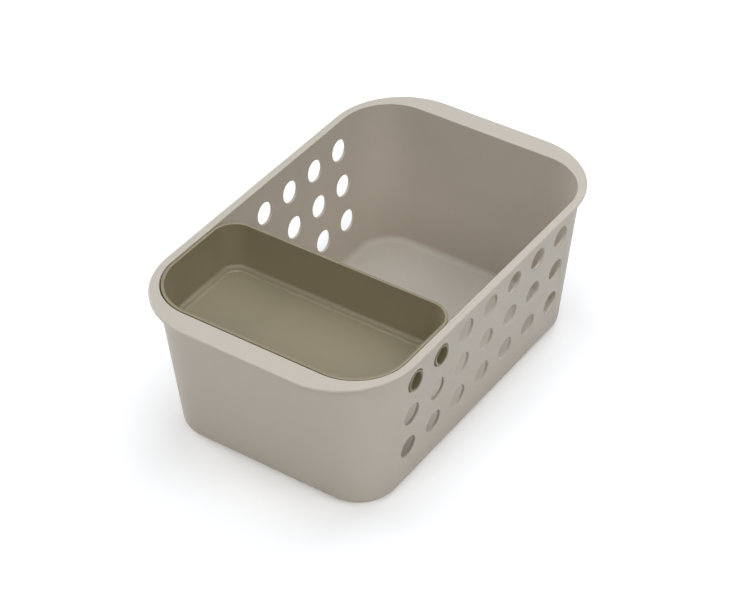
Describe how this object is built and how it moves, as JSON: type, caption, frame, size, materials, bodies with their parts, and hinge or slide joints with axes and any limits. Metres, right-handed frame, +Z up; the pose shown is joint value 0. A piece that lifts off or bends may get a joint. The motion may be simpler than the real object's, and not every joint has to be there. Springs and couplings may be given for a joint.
{
  "type": "bathroom storage basket",
  "caption": "Oblong open basket with round holes in its long walls and a flat rim, and a shallow lift-out tray that hangs in its front end on short hollow pegs.",
  "frame": {"origin": "middle of the basket's underside", "axes": "+Z up; Y along the basket, with the tray at the -Y end; X across it, through the walls with the holes"},
  "size_m": [0.192, 0.3, 0.113],
  "materials": {
    "basket_plastic": "moulded, fine satin grain, warm pale grey",
    "tray_plastic": "moulded, fine satin grain, olive grey"
  },
  "bodies": {
    "basket": {"basket": "basket_plastic"},
    "tray": {"tray": "tray_plastic", "tray_peg_right_front": "tray_plastic", "tray_peg_right_rear": "tray_plastic", "tray_peg_left_front": "tray_plastic", "tray_peg_left_rear": "tray_plastic"}
  },
  "joints": [
    {"name": "tray_lift", "type": "slide", "parent": "basket", "child": "tray", "axis": [0, 0, 1], "range_m": [0, 0.06], "deforming": ["tray_peg_right_front", "tray_peg_right_rear", "tray_peg_left_front", "tray_peg_left_rear"]}
  ]
}
